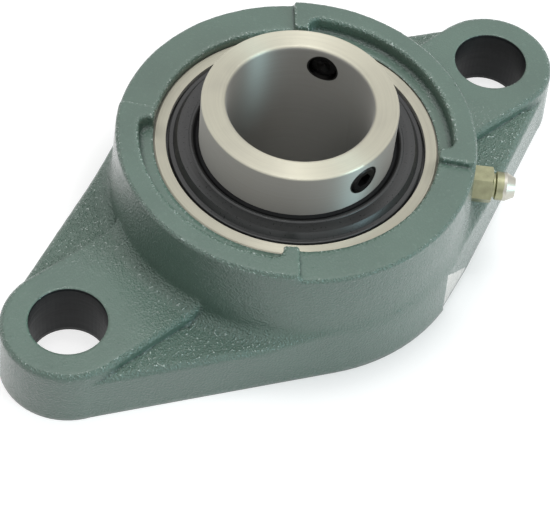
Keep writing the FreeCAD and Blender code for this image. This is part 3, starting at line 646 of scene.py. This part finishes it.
def coarseness(face):
    """How strongly the sand shows on a cast face: less on the boss face, the pads and in the bolt holes."""
    middle = face.calc_center_median()
    from_bolt = to_bolt(middle)
    flat = face.normal.z > 0.95
    if from_bolt < BOLT_HOLE or flat and middle.z > BOSS_FACE:
        return SMOOTH_CAST
    if flat and middle.z > PAD_FACE:
        return min(1.0, SMOOTH_CAST + (1 - SMOOTH_CAST) * max(from_bolt - PAD_SMOOTH, 0) / PAD_FADE)
    return WALL_CAST + (1 - WALL_CAST) * max(face.normal.z, 0)


def relax(weights, rounds):
    """Draw vertices towards the middle of their neighbours, each by its own weight."""
    for _ in range(rounds):
        goals = []
        for vert, weight in weights:
            around = [edge.other_vert(vert).co for edge in vert.link_edges]
            goals.append((vert, vert.co.lerp(sum(around, Vector()) / len(around), weight)))
        for vert, goal in goals:
            vert.co = goal


def soften_edges(mesh, fixed):
    """Round the hard edges of the casting a little, as sand leaves them."""
    hard = set()
    for edge in mesh.edges:
        if len(edge.link_faces) == 2 and edge.calc_face_angle(0) > HARD_ANGLE:
            hard.update(edge.verts)
    relax([(vert, SOFTEN_STEP) for vert in hard if vert not in fixed], SOFTEN_ROUNDS)


def blend_walls(mesh):
    """Let the boss wall run into the flange rim where the two meet, in the middle of the long sides."""
    band = []
    for vert in mesh.verts:
        reach = to_shaft(vert.co)
        lean = abs(vert.co.x) / max(reach, MM)
        if reach >= BLEND_INSIDE and lean < BLEND_LEAN and BLEND_LOW < vert.co.z < BLEND_HIGH:
            band.append((vert, 0.5 * min(1.0, (BLEND_LEAN - lean) * BLEND_RISE)))
    relax(band, BLEND_ROUNDS)


def convexity(vert):
    """Above zero on ridges, below zero in hollows."""
    bends = [edge.calc_face_angle_signed(0) for edge in vert.link_edges if len(edge.link_faces) == 2]
    return sum(bends) / max(len(bends), 1)


def spread(mesh, layer, rounds):
    """Smooth a vertex value over its neighbours."""
    for _ in range(rounds):
        fresh = {}
        for vert in mesh.verts:
            around = [edge.other_vert(vert)[layer] for edge in vert.link_edges]
            fresh[vert] = 0.5 * vert[layer] + 0.5 * sum(around) / max(len(around), 1)
        for vert, level in fresh.items():
            vert[layer] = level


def mould_height(place, look):
    """Height of the mould's waves, sand grain and finer grain at a place on the casting."""
    wave = noise.noise(place / look.wave_length) * look.wave
    grain = noise.noise(place / look.grain_length) * look.grain
    fine = noise.noise(place / (look.grain_length * 0.5)) * look.grain * 0.5
    return wave + grain + fine


def cast_mesh(look):
    """The housing with waves and sand grain on its cast faces."""
    mesh = mesh_copy("housing")
    mark_finishes(mesh)
    cut_long_edges(mesh, look.facet)
    cast = mesh.verts.layers.float.new("cast")
    edge = mesh.verts.layers.float.new("edge")
    grit = mesh.verts.layers.float.new("grit")
    fixed = {vert for face in mesh.faces if face.material_index in (MACHINED, DRILLED) for vert in face.verts}
    soften_edges(mesh, fixed)
    blend_walls(mesh)
    mesh.normal_update()
    for vert in mesh.verts:
        levels = [coarseness(face) for face in vert.link_faces]
        vert[cast] = 0 if vert in fixed else sum(levels) / len(levels)
        vert[edge] = convexity(vert) * EDGE_GAIN
        by_ring = to_shaft(vert.co) < MOUTH_EDGE
        vert[grit] = 0 if by_ring else vert[cast] * max(vert.normal.z, 0) ** 3
    spread(mesh, edge, EDGE_ROUNDS)
    moves = [(vert, vert.normal * (mould_height(vert.co, look) * vert[cast])) for vert in mesh.verts]
    for vert, move in moves:
        vert.co += move
    return mesh


def grain_tree(material):
    """A node group that scatters shallow raised grains on the cast faces of a mesh."""
    tree = bpy.data.node_groups.new("sand_grains", "GeometryNodeTree")
    sockets = tree.interface
    sockets.new_socket("Geometry", in_out="INPUT", socket_type="NodeSocketGeometry")
    sockets.new_socket("Density", in_out="INPUT", socket_type="NodeSocketFloat")
    sockets.new_socket("Radius", in_out="INPUT", socket_type="NodeSocketFloat")
    sockets.new_socket("Seed", in_out="INPUT", socket_type="NodeSocketInt")
    sockets.new_socket("Geometry", in_out="OUTPUT", socket_type="NodeSocketGeometry")
    make = tree.nodes.new
    join = tree.links.new
    source = make("NodeGroupInput")
    result = make("NodeGroupOutput")
    grit = make("GeometryNodeInputNamedAttribute")
    grit.data_type = "FLOAT"
    grit.inputs["Name"].default_value = "grit"
    amount = make("ShaderNodeMath")
    amount.operation = "MULTIPLY"
    points = make("GeometryNodeDistributePointsOnFaces")
    ball = make("GeometryNodeMeshIcoSphere")
    ball.inputs["Subdivisions"].default_value = 2
    sink = make("ShaderNodeMath")
    sink.operation = "MULTIPLY"
    sink.inputs[1].default_value = GRAIN_SINK
    down = make("ShaderNodeCombineXYZ")
    sunk = make("GeometryNodeTransform")
    size = make("FunctionNodeRandomValue")
    size.data_type = "FLOAT_VECTOR"
    size.inputs["Min"].default_value = GRAIN_SMALL
    size.inputs["Max"].default_value = GRAIN_LARGE
    copies = make("GeometryNodeInstanceOnPoints")
    real = make("GeometryNodeRealizeInstances")
    smooth = make("GeometryNodeSetShadeSmooth")
    finish = make("GeometryNodeSetMaterial")
    finish.inputs["Material"].default_value = material
    join(grit.outputs["Attribute"], amount.inputs[0])
    join(source.outputs["Density"], amount.inputs[1])
    join(source.outputs["Geometry"], points.inputs["Mesh"])
    join(amount.outputs[0], points.inputs["Density"])
    join(source.outputs["Seed"], points.inputs["Seed"])
    join(source.outputs["Radius"], ball.inputs["Radius"])
    join(source.outputs["Seed"], size.inputs["Seed"])
    join(points.outputs["Points"], copies.inputs["Points"])
    join(points.outputs["Rotation"], copies.inputs["Rotation"])
    join(source.outputs["Radius"], sink.inputs[0])
    join(sink.outputs[0], down.inputs["Z"])
    join(ball.outputs["Mesh"], sunk.inputs["Geometry"])
    join(down.outputs[0], sunk.inputs["Translation"])
    join(sunk.outputs[0], copies.inputs["Instance"])
    join(size.outputs["Value"], copies.inputs["Scale"])
    join(copies.outputs[0], real.inputs[0])
    join(real.outputs[0], smooth.inputs[0])
    join(smooth.outputs[0], finish.inputs["Geometry"])
    join(finish.outputs[0], result.inputs[0])
    return tree


def scatter_grains(casting, look, material):
    """Bake the scattered grains to a mesh of their own."""
    tree = grain_tree(material)
    maker = bpy.data.objects.new("grain_maker", casting.data)
    bpy.context.scene.collection.objects.link(maker)
    modifier = maker.modifiers.new("grains", "NODES")
    modifier.node_group = tree
    settings = {"Density": look.pimples, "Radius": look.pimple, "Seed": look.seed}
    for item in tree.interface.items_tree:
        if item.in_out == "INPUT" and item.name in settings:
            modifier[item.identifier] = settings[item.name]
    graph = bpy.context.evaluated_depsgraph_get()
    data = bpy.data.meshes.new_from_object(maker.evaluated_get(graph))
    bpy.data.objects.remove(maker)
    grains = bpy.data.objects.new("sand_grains", data)
    bpy.context.scene.collection.objects.link(grains)
    return grains


class BEARING_OT_casting(bpy.types.Operator):
    """Build the painted casting with its sand grain"""
    bl_idname = "bearing.casting"
    bl_label = "Casting"

    def execute(self, context):
        look = context.scene.bearing_casting
        paint = paint_material(look)
        casting = new_piece("casting", cast_mesh(look), (paint, iron_material(look), hole_material(look)))
        casting.data.set_sharp_from_angle(angle=SHARP_ANGLE)
        grains = scatter_grains(casting, look, paint)
        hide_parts("housing")
        for piece in (casting, grains):
            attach(piece, "housing")
        return {"FINISHED"}


class BEARING_OT_rings(bpy.types.Operator):
    """Finish the outer ring and the inner ring in ground steel"""
    bl_idname = "bearing.rings"
    bl_label = "Rings"

    def execute(self, context):
        look = context.scene.bearing_metals
        for node, fine in (("outer_ring", 5200), ("inner_ring", 3600)):
            low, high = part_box(node)
            middle = (low[2] + high[2]) / 2
            half = (high[2] - low[2]) / 2
            dress(node, ring_material(f"{node}_steel", look, middle, half, fine))
        return {"FINISHED"}


class BEARING_OT_balls(bpy.types.Operator):
    """Finish the balls, the riveted cage and its rivets"""
    bl_idname = "bearing.balls"
    bl_label = "Balls and cage"

    def execute(self, context):
        look = context.scene.bearing_metals
        polished = steel_material("ball_polish", look.ball, shade(look.ball, 0.9), fine=900, rough=0.12,
                                  depth=0.003 * MM)
        for node in BALLS:
            dress(node, polished)
        pressed = steel_material("cage_sheet", look.cage, shade(look.cage, 0.7), fine=1500, rough=0.36,
                                 depth=0.01 * MM)
        for node in ("cage_front", "cage_back", "cage_rivets"):
            dress(node, pressed)
        return {"FINISHED"}


class BEARING_OT_seals(bpy.types.Operator):
    """Finish the seal plates and their rubber lips"""
    bl_idname = "bearing.seals"
    bl_label = "Seals"

    def execute(self, context):
        look = context.scene.bearing_metals
        plate = plate_material(look)
        rubber = rubber_material(look)
        for side in ("front", "back"):
            dress(f"seal_plate_{side}", plate)
            dress(f"seal_lip_{side}", rubber)
        return {"FINISHED"}


class BEARING_OT_screws(bpy.types.Operator):
    """Finish the two set screws in black steel"""
    bl_idname = "bearing.screws"
    bl_label = "Set screws"

    def execute(self, context):
        black = black_material(context.scene.bearing_metals)
        for node in ("set_screw_1", "set_screw_2"):
            dress(node, black)
        return {"FINISHED"}


class BEARING_OT_nipple(bpy.types.Operator):
    """Finish the grease nipple with its check ball and spring"""
    bl_idname = "bearing.nipple"
    bl_label = "Grease nipple"

    def execute(self, context):
        look = context.scene.bearing_metals
        dress("grease_nipple", zinc_material(look))
        polished = steel_material("check_polish", look.ball, shade(look.ball, 0.85), fine=2500, rough=0.14,
                                  depth=0.002 * MM)
        dress("nipple_check_ball", polished)
        mesh = mesh_copy("nipple_spring")
        reaches = [vert.co.dot(NIPPLE_WAY) for vert in mesh.verts]
        low = min(reaches)
        anchor = NIPPLE_WAY * low
        anchor.z = sum(vert.co.z for vert in mesh.verts) / len(mesh.verts)
        for face in mesh.faces:
            face.smooth = True
        spring = new_piece("check_coil", mesh, (polished,))
        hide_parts("nipple_spring")
        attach(spring, "housing")
        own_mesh(spring)
        return {"FINISHED"}


def floor_material(look):
    """A pale floor that looks white to the camera and to gloss, and keeps the shadow; near the unit its glow
    fades out, painted shade on the floor under and round it.
    """
    material = bpy.data.materials.new("floor")
    material.use_nodes = True
    n = Nodes(material.node_tree)
    output = n.make("ShaderNodeOutputMaterial")
    matt = n.make("ShaderNodeBsdfDiffuse")
    glow_fading_by_unit = n.make("ShaderNodeEmission")
    both = n.make("ShaderNodeAddShader")
    light = n.make("ShaderNodeLightPath").outputs
    patch = n.span(n.noise(3, detail=2, rough=0.5), 0.3, 0.7, 0.0, 0.05)
    n.feed(matt.inputs["Color"], n.mix(patch, look.floor, (0.7, 0.7, 0.7)))
    seen = n.math("MAXIMUM", light["Is Camera Ray"], light["Is Glossy Ray"])
    # Painted shade: the floor's glow fades to nothing within 20 to 50 mm of the shaft, under and round the
    # unit
    n.feed(glow_fading_by_unit.inputs["Strength"], n.times(seen, n.span(n.radius(), 20 * MM, 50 * MM, 0.0, 0.68)))
    n.feed(both.inputs[0], matt.outputs[0])
    n.feed(both.inputs[1], glow_fading_by_unit.outputs[0])
    n.feed(output.inputs[0], both.outputs[0])
    return material


def white_world(scene, ambient):
    """White to the camera, dimmer at the sides to gloss and glass, and light from above for the unit."""
    world = bpy.data.worlds.new("studio")
    scene.world = world
    world.use_nodes = True
    n = Nodes(world.node_tree, "Generated")
    output = n.make("ShaderNodeOutputWorld")
    back = n.make("ShaderNodeBackground")
    light = n.make("ShaderNodeLightPath").outputs
    x, _, z = n.axes()
    from_above = n.math("POWER", z, 3.0, clamp=True)
    lighting = n.times(from_above, n.span(x, -1.0, 1.0, ambient * 0.5, ambient * 1.5))
    shown = n.math("MAXIMUM", n.span(z, 0.0, 0.6, 0.55, 1.0), light["Is Camera Ray"])
    seen = light["Is Camera Ray"]
    for ray in ("Is Glossy Ray", "Is Transmission Ray"):
        seen = n.math("MAXIMUM", seen, light[ray])
    n.feed(back.inputs["Strength"], n.span(seen, 0.0, 1.0, lighting, shown))
    n.feed(back.inputs["Color"], (1, 1, 1))
    n.feed(output.inputs[0], back.outputs[0])


def aim_camera(scene, look):
    """The photograph's viewpoint."""
    azimuth, elevation, roll = look.azimuth, look.elevation, look.roll
    back = Vector((math.sin(azimuth) * math.cos(elevation), -math.cos(azimuth) * math.cos(elevation),
                   math.sin(elevation)))
    right = Vector((0, 0, 1)).cross(back).normalized()
    up = back.cross(right)
    side = math.cos(roll) * right + math.sin(roll) * up
    top = -math.sin(roll) * right + math.cos(roll) * up
    data = bpy.data.cameras.new("camera")
    data.lens = look.lens
    data.sensor_fit = "HORIZONTAL"
    data.sensor_width = 36
    data.clip_start = 0.01
    camera = bpy.data.objects.new("camera", data)
    turn = Matrix((side, top, back)).transposed().to_4x4()
    camera.matrix_world = Matrix.Translation(Vector(look.place)) @ turn
    scene.collection.objects.link(camera)
    scene.camera = camera


def add_lamp(name, place, wide, tall, watts, tint=(1, 1, 1)):
    """A soft oval lamp that points at the bearing."""
    data = bpy.data.lights.new(name, "AREA")
    data.shape = "ELLIPSE"
    data.size = wide
    data.size_y = tall
    data.energy = watts
    data.color = tint
    lamp = bpy.data.objects.new(name, data)
    lamp.location = place
    lamp.rotation_euler = (CENTRE - lamp.location).to_track_quat("-Z", "Y").to_euler()
    bpy.context.scene.collection.objects.link(lamp)


class BEARING_OT_stage(bpy.types.Operator):
    """Set up the pale floor, the soft light and the camera"""
    bl_idname = "bearing.stage"
    bl_label = "Stage"

    def execute(self, context):
        scene = context.scene
        look = scene.bearing_stage
        scene.view_settings.view_transform = "Standard"
        white_world(scene, look.ambient)
        mesh = bmesh.new()
        bmesh.ops.create_grid(mesh, x_segments=1, y_segments=1, size=FLOOR_HALF)
        bmesh.ops.translate(mesh, verts=mesh.verts, vec=(0, 0, -FLOOR_DROP))
        floor = new_piece("floor", mesh, (floor_material(look),))
        add_lamp("overhead", place=(0.1, 0.15, 0.98), wide=0.7, tall=0.7, watts=look.key)
        add_lamp("spark", place=(0.12, 0.12, 1.0), wide=0.08, tall=0.08, watts=look.spark)
        add_lamp("side", place=(0.29, -0.79, 0.36), wide=0.32, tall=0.7, watts=look.fill, tint=look.cool)
        aim_camera(scene, look)
        return {"FINISHED"}


OPERATORS = (
    BEARING_OT_casting,
    BEARING_OT_rings,
    BEARING_OT_balls,
    BEARING_OT_seals,
    BEARING_OT_screws,
    BEARING_OT_nipple,
    BEARING_OT_stage,
)


class BEARING_PT_panel(bpy.types.Panel):
    """Lists the steps that dress the unit, and their settings"""
    bl_idname = "BEARING_PT_panel"
    bl_label = "Flange bearing unit"
    bl_space_type = "VIEW_3D"
    bl_region_type = "UI"
    bl_category = "Bearing unit"

    def draw(self, context):
        for operator in OPERATORS:
            self.layout.operator(operator.bl_idname)
        for group in GROUPS:
            settings = getattr(context.scene, group)
            box = self.layout.box()
            for name in settings.bl_rna.properties.keys():
                if name not in ("rna_type", "name"):
                    box.prop(settings, name)


GROUPS = {"bearing_casting": BearingCasting, "bearing_metals": BearingMetals, "bearing_stage": BearingStage}
CLASSES = (*GROUPS.values(), *OPERATORS, BEARING_PT_panel)


def register():
    for item in CLASSES:
        bpy.utils.register_class(item)
    for name, group in GROUPS.items():
        setattr(bpy.types.Scene, name, PointerProperty(type=group))


def unregister():
    for name in GROUPS:
        delattr(bpy.types.Scene, name)
    for item in reversed(CLASSES):
        bpy.utils.unregister_class(item)


def main():
    register()
    for operator in OPERATORS:
        group, name = operator.bl_idname.split(".")
        getattr(getattr(bpy.ops, group), name)()


if __name__ == "__main__":
    main()
